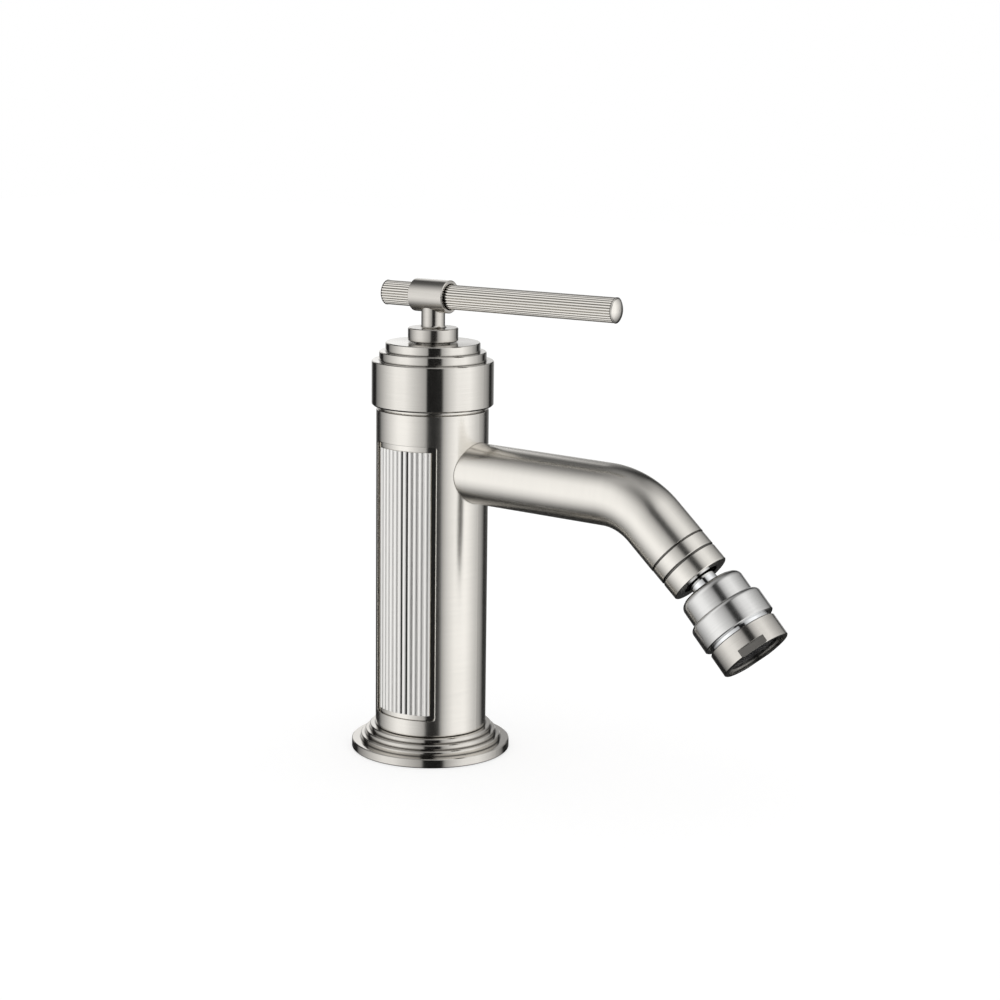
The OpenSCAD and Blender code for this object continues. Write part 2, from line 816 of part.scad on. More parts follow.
module hub_grub_screw() {
    tip = spindle_head_r - spindle_flat;
    color(steel)
        translate([0, 0, hub_screw_z]) rotate([0, -90, 0])
            translate([0, 0, tip]) grub_screw(hub_screw_r, hub_screw_socket_r, hub_disc_r - screw_sink - tip);
}

// Spout

// Run, bend and end of the spout as one round bar; the bend swells a little and laps over its ends
module spout_path(r, start, finish) {
    at_spout() {
        rotate([0, 0, 180]) rod_between(r, start, spout_run + bend_lap);
        translate([bend_r, 0, spout_run]) rotate([90, 0, 0]) rotate([0, 0, 180 - bend_angle])
            rotate_extrude(angle = bend_angle) translate([bend_r, 0]) circle(r + bend_swell);
    }
    at_tip() rotate([0, 0, 180]) rod_between(r, -bend_lap, finish);
}

module spout_tube() {
    color(nickel)
        difference() {
            union() {
                spout_path(spout_r, spout_shoulder, tip_len);
                at_spout() rod_between(spigot_r, spigot_end, bore_step);
            }
            spout_path(spout_bore_r, bore_step, tip_len + through);
            at_spout() {
                rod_between(spigot_bore_r, spigot_end - through, bore_step + through);
                tube_between(socket_r, socket_r - 2 * spout_ring_r,
                             spout_ring_s - spout_ring_r, spout_ring_s + spout_ring_r);
            }
            translate([spout_screw_x, 0, spout_z + spigot_r - spout_screw_dimple])
                rod_between(spout_screw_r + slide_gap, 0, socket_r);
        }
}

module spout_seal_ring() {
    color(rubber)
        at_spout() seal_ring(socket_r - spout_ring_r, spout_ring_r - slide_gap / 4, spout_ring_s);
}

module spout_grub_screw() {
    tip_z = spout_z + spigot_r - spout_screw_dimple;
    color(steel)
        translate([spout_screw_x, 0, tip_z])
            grub_screw(spout_screw_r, hub_screw_socket_r, chamber_floor - spout_screw_sink - tip_z);
}

// Ball joint

module spout_end_ring() {
    slot_floor = collar_start - skirt_len - slide_gap;
    color(nickel)
        at_tip()
            turned([
                [ring_bore_r, tip_len - ring_spigot_len], [ring_spigot_r, tip_len - ring_spigot_len],
                [ring_spigot_r, tip_len], [end_ring_r - groove, tip_len],
                [end_ring_r - groove, tip_len + groove], [end_ring_r - edge, tip_len + groove],
                [end_ring_r, tip_len + groove + edge],
                [end_ring_r, collar_start - edge], [end_ring_r - edge, collar_start],
                [ring_socket_r, collar_start], [ring_socket_r, slot_floor], [stud_flange_r, slot_floor],
                [stud_flange_r, ring_nose_end], [ring_bore_r, ring_nose_end]
            ]);
}

module ball_collar() {
    color(nickel)
        at_tip()
            turned([
                [skirt_bore_r, collar_start - skirt_len], [skirt_r, collar_start - skirt_len],
                [skirt_r, collar_start], [end_ring_r - groove, collar_start],
                [end_ring_r - groove, collar_start + groove], [end_ring_r - edge, collar_start + groove],
                [end_ring_r, collar_start + groove + edge], [end_ring_r, collar_end - edge],
                [end_ring_r - edge, collar_end], [collar_mouth_r, collar_end],
                [collar_mouth_r, stud_flange_end], [skirt_bore_r, stud_flange_end]
            ]);
}

module stud_gasket() {
    color(rubber) at_tip() tube_between(stud_flange_r, ring_bore_r, ring_nose_end, stud_flange_start);
}

module ball_stud() {
    color(chrome)
        at_tip() difference() {
            union() {
                rod_between(stud_flange_r, stud_flange_start, stud_flange_end);
                rod_between(ball_neck_r, stud_flange_start, ball_s);
                translate([0, 0, ball_s]) sphere(ball_r);
            }
            rod_between(ball_bore_r, stud_flange_start - through, ball_s + ball_r + through);
        }
}

module ball_seat() {
    color(ceramic)
        at_ball() rotate_extrude() intersection() {
            difference() {
                circle(seat_out_r);
                circle(seat_in_r);
            }
            translate([0, seat_top]) square([seat_out_r + through, seat_bottom - seat_top]);
        }
}

// Head

// Upright wall whose top edge is rounded, as a flat half profile from the axis
module rounded_half_profile(r, z0, z1, round_r) {
    difference() {
        translate([0, z0]) square([r, z1 - z0]);
        translate([r - round_r, z0]) difference() {
            translate([0, -through]) square(round_r + through);
            translate([0, round_r]) circle(round_r);
        }
    }
}

module swivel_body() {
    color(nickel)
        at_head() rotate_extrude() difference() {
            union() {
                rounded_half_profile(dome_r, dome_top, dome_bottom, dome_edge_r);
                difference() {
                    rounded_half_profile(head_ring_r, dome_bottom, ring_bottom, shoulder_r);
                    polygon([
                        [head_ring_r - edge, ring_bottom], [head_ring_r, ring_bottom - edge],
                        [head_ring_r + through, ring_bottom - edge],
                        [head_ring_r + through, ring_bottom + through],
                        [head_ring_r - edge, ring_bottom + through]
                    ]);
                }
            }
            intersection() {
                circle(pocket_r);
                translate([0, dome_top - through]) square([pocket_r + through, ball_depth + 2 * through]);
            }
            polygon([
                [0, 0], [pocket_bore_r, 0], [pocket_bore_r, retainer_top],
                [retainer_r + slide_gap, retainer_top], [retainer_r + slide_gap, head_socket_top],
                [head_socket_r, head_socket_top], [head_socket_r, ring_bottom + through],
                [0, ring_bottom + through]
            ]);
        }
}

// Bush that closes the pocket under the ball, with the seal's groove and a hexagon outlet
module ball_retainer() {
    seal_groove_floor = ball_seal_z + ball_seal_section_r;
    color(brass)
        at_head() difference() {
            rod_between(retainer_r, retainer_top, head_socket_top);
            sphere(retainer_cup_r);
            tube_between(ball_seal_ring_r + ball_seal_section_r, ball_seal_ring_r - ball_seal_section_r,
                         0, seal_groove_floor);
            translate([0, 0, retainer_top])
                cylinder(r = retainer_socket_r, h = head_socket_top - retainer_top + through, $fn = 6);
        }
}

module ball_seal() {
    color(rubber) at_head() seal_ring(ball_seal_ring_r, ball_seal_section_r - slide_gap / 4, ball_seal_z);
}

module aerator_gasket() {
    color(rubber) at_head() tube_between(cup_neck_r, gasket_hole_r, head_socket_top, cup_neck_top);
}

module aerator_cup() {
    recess_z = cup_bottom - rim_recess_h;
    color(nickel)
        at_head() difference() {
            turned([
                [cup_bore_r, cup_neck_top], [cup_neck_r, cup_neck_top], [cup_neck_r, cup_top],
                [cup_r - edge, cup_top], [cup_r, cup_top + edge], [cup_r, cup_bottom - edge],
                [cup_r - edge, cup_bottom], [cup_r - rim_wall, cup_bottom], [cup_r - rim_wall, recess_z],
                [cup_lip_r, recess_z], [cup_lip_r, screen_bottom], [cup_bore_r, screen_bottom]
            ]);
            for (side = [0, 180]) rotate([0, 0, wrench_flat_turn + side])
                translate([-cup_r, cup_r - wrench_flat_depth, cup_bottom - wrench_flat_h])
                    cube([2 * cup_r, wrench_flat_depth + through, wrench_flat_h + through]);
        }
}

module aerator_insert() {
    hole_ring_step = (insert_r - insert_wall - insert_hole_r) / (insert_hole_rings + 0.5);
    color(resin)
        at_head() difference() {
            rod_between(insert_r, cup_neck_top, screen_top);
            rod_between(insert_r - insert_wall, cup_neck_top + insert_floor_t, screen_top + through);
            for (ring = [1 : insert_hole_rings], k = [0 : 6 * ring - 1])
                rotate([0, 0, k * 60 / ring]) translate([ring * hole_ring_step, 0, 0])
                    rod_between(insert_hole_r, cup_neck_top - through, cup_neck_top + insert_floor_t + through);
        }
}

module aerator_screen() {
    bars = floor(screen_r / screen_pitch);
    color(steel)
        at_head() translate([0, 0, screen_top]) linear_extrude(height = screen_t) {
            difference() {
                circle(screen_r);
                circle(screen_r - screen_rim_w);
            }
            intersection() {
                circle(screen_r - screen_rim_w / 2);
                for (k = [-bars : bars]) {
                    translate([k * screen_pitch, 0]) square([screen_bar, 2 * screen_r], center = true);
                    translate([0, k * screen_pitch]) square([2 * screen_r, screen_bar], center = true);
                }
            }
        }
}

column_body();
base_flange();
deck_gasket();
left_fluted_panel();
right_fluted_panel();
stepped_cap();
cartridge_nut();
cartridge_housing();
cartridge_base();
cartridge_base_seals();
fixed_ceramic_disc();
moving_ceramic_disc();
spindle();
spindle_seal();
lever_hub();
lever_rod();
rod_grub_screw();
hub_grub_screw();
spout_tube();
spout_seal_ring();
spout_grub_screw();
spout_end_ring();
ball_collar();
stud_gasket();
ball_stud();
ball_seat();
swivel_body();
ball_retainer();
ball_seal();
aerator_gasket();
aerator_cup();
aerator_insert();
aerator_screen();
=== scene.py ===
"""Bidet mixer: finishes, studio light and the photograph's viewpoint."""

import math

import bpy
from mathutils import Matrix, Vector


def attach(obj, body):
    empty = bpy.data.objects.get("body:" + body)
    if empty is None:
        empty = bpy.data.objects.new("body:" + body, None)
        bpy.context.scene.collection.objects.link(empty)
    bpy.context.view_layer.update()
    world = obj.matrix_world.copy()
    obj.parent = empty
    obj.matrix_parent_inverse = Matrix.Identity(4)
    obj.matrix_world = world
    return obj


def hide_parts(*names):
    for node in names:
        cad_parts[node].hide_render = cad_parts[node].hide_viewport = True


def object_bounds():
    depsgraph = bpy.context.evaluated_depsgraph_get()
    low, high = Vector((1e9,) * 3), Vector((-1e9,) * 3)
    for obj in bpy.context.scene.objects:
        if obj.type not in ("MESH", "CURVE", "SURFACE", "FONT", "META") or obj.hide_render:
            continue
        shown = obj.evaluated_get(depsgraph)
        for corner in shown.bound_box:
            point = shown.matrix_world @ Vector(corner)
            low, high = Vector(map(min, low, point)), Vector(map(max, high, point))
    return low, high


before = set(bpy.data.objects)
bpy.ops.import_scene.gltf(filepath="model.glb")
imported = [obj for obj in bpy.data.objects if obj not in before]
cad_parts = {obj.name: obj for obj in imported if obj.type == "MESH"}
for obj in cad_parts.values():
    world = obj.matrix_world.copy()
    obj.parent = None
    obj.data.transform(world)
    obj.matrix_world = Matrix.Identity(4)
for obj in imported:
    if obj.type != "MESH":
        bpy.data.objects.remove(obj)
cad_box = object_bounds()

MM = 0.001
UP = Vector((0, 0, 1))
ALONG_SPOUT = Vector((1, 0, 0))
ALONG_TIP = Vector((0.7337, 0, -0.6794))
ALONG_HEAD = Vector((0.6926, -0.0589, -0.7189)).normalized()
BALL_CENTRE = Vector((114.9076, 0, 72.0429)) * MM

# Tones of the metals and the other materials
NICKEL = (0.72, 0.695, 0.65)
NICKEL_CAP = (0.66, 0.637, 0.596)
NICKEL_BASE = (0.6, 0.577, 0.54)
NICKEL_REEDS = (0.86, 0.85, 0.825)
NICKEL_HUB = (0.55, 0.528, 0.494)
NICKEL_HEAD = (0.655, 0.65, 0.64)
NICKEL_CUP = (0.59, 0.567, 0.53)
CHROME = (0.80, 0.81, 0.82)
BRASS = (0.72, 0.52, 0.25)
SCREW_STEEL = (0.50, 0.50, 0.51)
SCREEN_STEEL = (0.16, 0.16, 0.165)
RUBBER = (0.022, 0.022, 0.023)
CARTRIDGE_RESIN = (0.62, 0.61, 0.57)
SEAT_RESIN = (0.70, 0.69, 0.66)
CERAMIC = (0.82, 0.80, 0.76)

# Tones where little light comes in
CUP_INSIDE_SHADE = (0.2, 0.195, 0.185)
GROOVE_SHADE = (0.15, 0.145, 0.135)
MOUTH_SHADE = (0.07, 0.066, 0.06)
CORNER_SHADE = (0.08, 0.075, 0.068)

# A noise's values lie mostly between these two
NOISE_LOW = 0.3
NOISE_HIGH = 0.7

# Edges: cosine between the rounded and the true normal where an edge begins and where it is full
EDGE_BEGINS = 0.985
EDGE_FULL = 0.9
EDGE_SAMPLES = 6

# Brushed metal: share of the brushing in the tone, the rest being clouds, and edges worn and
# painted lighter as a highlight
BRUSHING_SHARE = 0.62
CLOUD_SCALE = 55.0
BRUSHING_HEIGHT = 0.02 * MM
EDGE_WEAR_AND_HIGHLIGHT = 0.1
RUBBED_SMOOTHER = 0.05
QUARTER_TURN = 0.25

# Inner corners: how open a place is where its shade is full and where it ends
CORNER_SHUT = 0.6
CORNER_OPEN = 0.88
CORNER_STRENGTH = 0.85
CORNER_SAMPLES = 8

# Aerator cup, along the head's axis from the ball's centre and out from that axis, in mm
CUP_TOP = 15.75
CUP_FLOOR = 17.75
CUP_MOUTH_R = 10.9
NECK_FADE = 0.1
CUP_FADE = 0.15
NECK_ROUGHNESS = 0.06

# End ring and collar, along the tip's axis from the ball's centre and out from that axis, in mm
TIP_R = 10.7
GROOVE_BEGINS = 0.08
GROOVE_FULL = 0.2
GROOVES_END = -8.0
COLLAR_MOUTH_R = 6.81

# Reeds: places between crest and valley as shares of the reeds' depth
VALLEY_BEGINS = 0.4
VALLEY_FULL = 0.9
REEDS_FLOOR = 1.3
DARK_VALLEY_BEGINS = 0.25
DARK_VALLEY_FULL = 0.6
# Reeds: uneven shade from valley to valley, as shares of the shade
VALLEY_SCALE = 260.0
VALLEY_NOISE_LOW = 0.35
VALLEY_NOISE_HIGH = 0.65
FAINT_VALLEY = 0.35
STRONG_VALLEY = 1.3
# Reeds: half width of the painted dark valleys' place and the painted end line, in mm
DARK_PLACE = 1.5
DARK_PLACE_ENDS = 2.1
DARK_STRENGTH = 0.97
END_LINE = 0.1
END_LINE_ENDS = 0.3
END_LINE_STRENGTH = 0.8
# Reeds: marks along them, painted shade in the valleys and finish
MARK_FINE = 1700.0
MARK_COARSE = 14.0
MARK_DARKER = 0.07
MARK_LIGHTER = 0.05
MARK_VARY = 0.03
VALLEY_SHADE = 0.05
REED_EDGE = 0.05
MARGIN_ROUGHNESS = 0.12

# Moulded, cast and cut materials: grain, uneven tone and finish
GRAIN_SHARE = 0.5
GRAIN_HEIGHT = 0.05 * MM
SPOT_SCALE = 0.06
PLAIN_VARY = 0.06
PLAIN_EDGE = 0.12
SMOOTHEST = 0.02


# Node helpers

# Sockets of a mix node: the factor, then the two values and the result for each kind
MIX_FACTOR = 0
FIRST_COLOUR, SECOND_COLOUR, MIXED_COLOUR = 6, 7, 2
FIRST_VECTOR, SECOND_VECTOR, MIXED_VECTOR = 4, 5, 1


def feed(tree, node, links):
    """Links or sets a node's inputs."""
    for socket, value in links.items():
        if isinstance(value, bpy.types.NodeSocket):
            tree.links.new(value, node.inputs[socket])
        else:
            node.inputs[socket].default_value = value


def add(tree, kind, links=None, **settings):
    """Adds a node, sets its properties, and links or sets its inputs."""
    node = tree.nodes.new(kind)
    for name, value in settings.items():
        setattr(node, name, value)
    feed(tree, node, links or {})
    return node


def maths(tree, operation, a, b=0.0, clamp=False):
    """One math node's output."""
    node = add(tree, "ShaderNodeMath", {0: a, 1: b}, operation=operation, use_clamp=clamp)
    return node.outputs[0]


def vector_maths(tree, operation, a, b=None):
    """One vector math node's output, a number for a dot product or a length."""
    links = {0: a}
    if b is not None:
        links["Scale" if operation == "SCALE" else 1] = b
    node = add(tree, "ShaderNodeVectorMath", links, operation=operation)
    return node.outputs["Value" if operation in ("DOT_PRODUCT", "LENGTH") else "Vector"]


def spread(tree, value, low, high, to_low, to_high):
    """Value moved from one range to another, clamped."""
    links = {
        "Value": value,
        "From Min": low,
        "From Max": high,
        "To Min": to_low,
        "To Max": to_high,
    }
    return add(tree, "ShaderNodeMapRange", links).outputs[0]


def mask(tree, value, begins, full):
    """0 up to where a value begins, 1 from where it is full, and a slope between."""
    return spread(tree, value, begins, full, 0.0, 1.0)


def ramp(tree, value, stops):
    """Grey levels along a value, from (place, level) pairs."""
    node = add(tree, "ShaderNodeValToRGB", {"Fac": value})
    elements = node.color_ramp.elements
    while len(elements) < len(stops):
        elements.new(0.5)
    for element, (place, level) in zip(elements, stops):
        element.position = place
        element.color = (level, level, level, 1)
    return node.outputs["Color"]


def blend_colour(tree, factor, first, second):
    """A colour between two colours, each a socket or a tone."""
    first, second = (
        value if isinstance(value, bpy.types.NodeSocket) else (*value, 1)
        for value in (first, second)
    )
    links = {MIX_FACTOR: factor, FIRST_COLOUR: first, SECOND_COLOUR: second}
    return add(tree, "ShaderNodeMix", links, data_type="RGBA").outputs[MIXED_COLOUR]


def blend_vector(tree, factor, first, second):
    """A vector between two vectors."""
    links = {MIX_FACTOR: factor, FIRST_VECTOR: first, SECOND_VECTOR: second}
    return add(tree, "ShaderNodeMix", links, data_type="VECTOR").outputs[MIXED_VECTOR]


def object_point(tree):
    """The shaded point in the shared frame, at rest."""
    return add(tree, "ShaderNodeTexCoord").outputs["Object"]


def noise(tree, vector, scale, detail, roughness):
    """A noise texture's grey value."""
    links = {"Vector": vector, "Scale": scale, "Detail": detail, "Roughness": roughness}
    return add(tree, "ShaderNodeTexNoise", links).outputs["Fac"]


def by_noise(tree, value, low, high):
    """A range spread over a noise's values."""
    return spread(tree, value, NOISE_LOW, NOISE_HIGH, low, high)


def shared(tree, first, second, share):
    """Two values added up, the first by its share and the second by the rest."""
    first_part = maths(tree, "MULTIPLY", first, share)
    return maths(tree, "ADD", first_part, maths(tree, "MULTIPLY", second, 1 - share))


def bump(tree, strength, distance, height, normal):
    """A normal with fine relief on it."""
    links = {"Strength": strength, "Distance": distance, "Height": height, "Normal": normal}
    return add(tree, "ShaderNodeBump", links).outputs[0]


# Materials

def empty_tree(block):
    """The cleared node tree of a material or world."""
    block.use_nodes = True
    block.node_tree.nodes.clear()
    return block.node_tree


def new_material(name):
    """An empty node material and its principled shader."""
    material = bpy.data.materials.new(name)
    tree = empty_tree(material)
    shader = add(tree, "ShaderNodeBsdfPrincipled")
    add(tree, "ShaderNodeOutputMaterial", {"Surface": shader.outputs[0]})
    return material, tree, shader


def toned(colour, share):
    """A tone lighter than a colour by a share of it, or darker where the share is below 0."""
    return tuple(min(c * (1 + share), 1.0) for c in colour)


def grain_vector(tree, point, axis, fine, coarse):
    """A point stretched so that a noise makes rings about an axis."""
    along = vector_maths(tree, "DOT_PRODUCT", point, axis)
    lines = vector_maths(tree, "SCALE", axis, maths(tree, "MULTIPLY", along, fine))
    return vector_maths(tree, "ADD", lines, vector_maths(tree, "SCALE", point, coarse))


def soft_edges(tree, radius):
    """How far a point is on an edge, and a normal that is rounded there only."""
    links = {"Radius": radius * MM}
    rounded = add(tree, "ShaderNodeBevel", links, samples=EDGE_SAMPLES).outputs[0]
    facing = add(tree, "ShaderNodeNewGeometry").outputs["Normal"]
    match = vector_maths(tree, "DOT_PRODUCT", rounded, facing)
    edge = mask(tree, match, EDGE_BEGINS, EDGE_FULL)
    return edge, vector_maths(tree, "NORMALIZE", blend_vector(tree, edge, facing, rounded))


def place_on_axis(tree, origin, axis):
    """Distance along an axis from a point on it, and distance from that axis."""
    off = vector_maths(tree, "SUBTRACT", object_point(tree), origin)
    along = vector_maths(tree, "DOT_PRODUCT", off, axis)
    on_axis = vector_maths(tree, "SCALE", axis, along)
    aside = vector_maths(tree, "SUBTRACT", off, on_axis)
    return along, vector_maths(tree, "LENGTH", aside)


def cup_zones(tree, colour, rough):
    """The cup's polished neck and painted shade inside it."""
    along, aside = place_on_axis(tree, BALL_CENTRE, ALONG_HEAD)
    on_neck = mask(tree, along, CUP_TOP * MM, (CUP_TOP - NECK_FADE) * MM)
    deep = maths(tree, "GREATER_THAN", along, CUP_FLOOR * MM)
    within = mask(tree, aside, CUP_MOUTH_R * MM, (CUP_MOUTH_R - CUP_FADE) * MM)
    plated = blend_colour(tree, on_neck, colour, CHROME)
    # Painted shade deep inside the cup's mouth
    shaded_inside = blend_colour(tree, maths(tree, "MULTIPLY", deep, within), plated, CUP_INSIDE_SHADE)
    return shaded_inside, spread(tree, on_neck, 0.0, 1.0, rough, NECK_ROUGHNESS)


def tip_zones(tree, colour, rough):
    """Painted shade in the spout tip's grooves and inside the collar's mouth."""
    along, aside = place_on_axis(tree, BALL_CENTRE, ALONG_TIP)
    in_groove = mask(tree, aside, (TIP_R - GROOVE_BEGINS) * MM, (TIP_R - GROOVE_FULL) * MM)
    before_end = maths(tree, "LESS_THAN", along, GROOVES_END * MM)
    in_mouth = maths(tree, "LESS_THAN", aside, COLLAR_MOUTH_R * MM)
    on_groove = maths(tree, "MULTIPLY", in_groove, before_end)
    grooved = blend_colour(tree, on_groove, colour, GROOVE_SHADE)
    return blend_colour(tree, in_mouth, grooved, MOUTH_SHADE), rough


def brushed_metal(
    name, colour, roughness, axis, fine=5200.0, coarse=60.0, depth=0.03, edge=0.16,
    stretch=0.0, vary=0.02, tint=0.05, corner=0.0, zones=None,
):
    """Metal with fine brushing round an axis, uneven tone and worn edges with a painted highlight.

    Fine and coarse are the brushing's scales along and round the axis, and depth is its relief.
    Edge is the radius of the worn edges with their painted highlight and corner the reach of the
    painted shade in inner corners, in mm. Stretch draws highlights out about the upright axis.
    Vary and tint are how far roughness and tone differ. Zones changes the places that are unlike
    the rest.
    """
    material, tree, shader = new_material(name)
    point = object_point(tree)
    stretched = grain_vector(tree, point, axis, fine, coarse)
    lines = noise(tree, stretched, scale=1.0, detail=2.0, roughness=0.6)
    cloud = noise(tree, point, scale=CLOUD_SCALE, detail=3.0, roughness=0.5)
    tone = shared(tree, lines, cloud, BRUSHING_SHARE)
    mixed = by_noise(tree, tone, 0.0, 1.0)
    body = blend_colour(tree, mixed, toned(colour, -tint), toned(colour, tint))
    worn_edge_and_highlight, normal = soft_edges(tree, edge)
    # Edges lighter: wear from handling and a painted highlight
    shown = blend_colour(tree, worn_edge_and_highlight, body, toned(colour, EDGE_WEAR_AND_HIGHLIGHT))
    uneven = by_noise(tree, tone, roughness - vary, roughness + vary)
    smoothed = maths(tree, "MULTIPLY", worn_edge_and_highlight, -RUBBED_SMOOTHER)
    rough = maths(tree, "ADD", uneven, smoothed, clamp=True)
    # Painted shade in inner corners, darker where little of the surroundings is seen
    if corner:
        sky = add(
            tree,
            "ShaderNodeAmbientOcclusion",
            {"Distance": corner * MM},
            samples=CORNER_SAMPLES,
        ).outputs["AO"]
        shut_in = spread(tree, sky, CORNER_SHUT, CORNER_OPEN, CORNER_STRENGTH, 0.0)
        shown = blend_colour(tree, shut_in, shown, CORNER_SHADE)
    if zones:
        shown, rough = zones(tree, shown, rough)
    if stretch:
        ring = add(tree, "ShaderNodeTangent", direction_type="RADIAL", axis="Z").outputs[0]
        drawn_out = {
            "Anisotropic": stretch,
            "Anisotropic Rotation": QUARTER_TURN,
            "Tangent": ring,
        }
        feed(tree, shader, drawn_out)
    if depth:
        normal = bump(tree, depth, BRUSHING_HEIGHT, lines, normal)
    finish = {"Base Color": shown, "Metallic": 1.0, "Roughness": rough, "Normal": normal}
    feed(tree, shader, finish)
    return material


def reeded_metal(
    name, colour, roughness, origin, axis, crest, depth, shade, gather=None, ends=None
):
    """Drawn reeds about an axis, with painted shade in the valleys and faint marks along them.

    Crest is the reeds' outer radius and depth their depth, in mm, and shade is the strength of
    the painted shade in the valleys. Gather names a place across the reeds, in mm, where the
    valleys hold a darker painted reflection. Ends is how far from the origin the reeds end, in mm,
    where a painted dark reflection marks them off.
    """
    material, tree, shader = new_material(name)
    along, aside = place_on_axis(tree, origin, axis)
    point = object_point(tree)
    run = vector_maths(tree, "SCALE", axis, along)
    across = vector_maths(tree, "SUBTRACT", point, run)
    sharp = vector_maths(tree, "SCALE", across, MARK_FINE)
    slow = vector_maths(tree, "SCALE", run, MARK_COARSE)
    place = vector_maths(tree, "ADD", sharp, slow)
    marks = noise(tree, place, scale=1.0, detail=2.0, roughness=0.6)
    mixed = by_noise(tree, marks, 0.0, 1.0)
    body = blend_colour(tree, mixed, toned(colour, -MARK_DARKER), toned(colour, MARK_LIGHTER))

    def below_crest(share):
        return (crest - share * depth) * MM

    # Painted shade in the valleys between the reeds, uneven from valley to valley
    low = mask(tree, aside, below_crest(VALLEY_BEGINS), below_crest(VALLEY_FULL))
    on_reeds = maths(tree, "GREATER_THAN", aside, below_crest(REEDS_FLOOR))
    valley = maths(tree, "MULTIPLY", low, on_reeds)
    uneven = noise(tree, across, scale=VALLEY_SCALE, detail=1.0, roughness=0.5)
    deep = spread(
        tree,
        uneven,
        VALLEY_NOISE_LOW,
        VALLEY_NOISE_HIGH,
        FAINT_VALLEY * shade,
        STRONG_VALLEY * shade,
    )
    shadow = maths(tree, "MULTIPLY", valley, deep)
    if gather is not None:
        # A darker painted reflection in the valleys near one place across the reeds
        sideways = add(tree, "ShaderNodeSeparateXYZ", {0: point}).outputs["X"]
        off = maths(tree, "ABSOLUTE", maths(tree, "SUBTRACT", sideways, gather * MM))
        near = spread(tree, off, DARK_PLACE * MM, DARK_PLACE_ENDS * MM, DARK_STRENGTH, 0.0)
        wide_begins, wide_full = below_crest(DARK_VALLEY_BEGINS), below_crest(DARK_VALLEY_FULL)
        darkest = maths(tree, "MULTIPLY", mask(tree, aside, wide_begins, wide_full), near)
        shadow = maths(tree, "MAXIMUM", shadow, darkest)
    if ends is not None:
        # A painted dark reflection in a thin ring where the reeds end
        past_end = maths(tree, "SUBTRACT", maths(tree, "ABSOLUTE", along), ends * MM)
        off = maths(tree, "ABSOLUTE", past_end)
        end_reflection = spread(tree, off, END_LINE * MM, END_LINE_ENDS * MM, END_LINE_STRENGTH, 0.0)
        shadow = maths(tree, "MAXIMUM", shadow, end_reflection)
    shaded = blend_colour(tree, shadow, body, tuple(c * VALLEY_SHADE for c in colour))
    drawn = by_noise(tree, marks, roughness - MARK_VARY, roughness + MARK_VARY)
    finish = {
        "Base Color": blend_colour(tree, on_reeds, NICKEL, shaded),
        "Metallic": 1.0,
        "Roughness": spread(tree, on_reeds, 0.0, 1.0, MARGIN_ROUGHNESS, drawn),
        "Normal": soft_edges(tree, REED_EDGE)[1],
    }
    feed(tree, shader, finish)
    return material


def plain_material(name, colour, roughness, scale, depth, metallic=0.0, spot=0.12):
    """A moulded, cast or cut material with fine grain, uneven tone and softened edges.

    Scale and depth are the grain's scale and relief, and spot is how far the tone differs.
    """
    material, tree, shader = new_material(name)
    point = object_point(tree)
    grain = noise(tree, point, scale=scale, detail=4.0, roughness=0.6)
    cloud = noise(tree, point, scale=scale * SPOT_SCALE, detail=2.0, roughness=0.5)
    tone = shared(tree, grain, cloud, GRAIN_SHARE)
    mixed = by_noise(tree, tone, 0.0, 1.0)
    smooth, rough = max(roughness - PLAIN_VARY, SMOOTHEST), roughness + PLAIN_VARY
    finish = {
        "Base Color": blend_colour(tree, mixed, toned(colour, -spot), toned(colour, spot)),
        "Metallic": metallic,
        "Roughness": by_noise(tree, tone, smooth, rough),
        "Normal": bump(tree, depth, GRAIN_HEIGHT, grain, soft_edges(tree, PLAIN_EDGE)[1]),
    }
    feed(tree, shader, finish)
    return material


# Finishes, with the reeds' sizes in mm

COLUMN_R = 20.0
REED_DEPTH = 0.35
# Across the panels, in mm: where the painted dark reflections in the valleys gather
DARK_VALLEYS_X = 2.3
BAR_R = 4.35
FLUTE_DEPTH = 0.4
# Along the bar from its middle, in mm: where the reeds end and the painted dark line lies
BAR_REEDS_END = 47.1

bar_box = [Vector(corner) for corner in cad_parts["lever_rod"].bound_box]
bar_middle = sum(bar_box, Vector()) / len(bar_box)

column_nickel = brushed_metal(
    "column_nickel", NICKEL, roughness=0.2, axis=UP, depth=0.02, edge=0.4, stretch=0.5
)
cap_nickel = brushed_metal(
    "cap_nickel", NICKEL_CAP, roughness=0.13, axis=UP, depth=0.02, edge=0.4, stretch=0.9,
    corner=0.7,
)
reeded_nickel = reeded_metal(
    "reeded_nickel", NICKEL_REEDS, roughness=0.42, origin=Vector(), axis=UP, crest=COLUMN_R,
    depth=REED_DEPTH, shade=0.25, gather=DARK_VALLEYS_X,
)
base_nickel = brushed_metal(
    "base_nickel", NICKEL_BASE, roughness=0.12, axis=UP, fine=4200.0, coarse=40.0, depth=0.0,
    edge=0.22, stretch=0.3, vary=0.01, corner=0.9,
)
spout_nickel = brushed_metal(
    "spout_nickel", NICKEL, roughness=0.22, axis=ALONG_SPOUT, fine=900.0, depth=0.0, vary=0.01,
    tint=0.02,
)
tip_nickel = brushed_metal(
    "tip_nickel", NICKEL, roughness=0.2, axis=ALONG_TIP, depth=0.0, vary=0.01, tint=0.03,
    zones=tip_zones,
)
head_nickel = brushed_metal(
    "head_nickel", NICKEL_HEAD, roughness=0.18, axis=ALONG_HEAD, fine=4200.0, vary=0.015
)
cup_nickel = brushed_metal(
    "cup_nickel", NICKEL_CUP, roughness=0.16, axis=ALONG_HEAD, fine=4200.0, vary=0.015,
    zones=cup_zones,
)
lever_nickel = brushed_metal(
    "lever_nickel", NICKEL_HUB, roughness=0.18, axis=UP, depth=0.02, vary=0.015
)
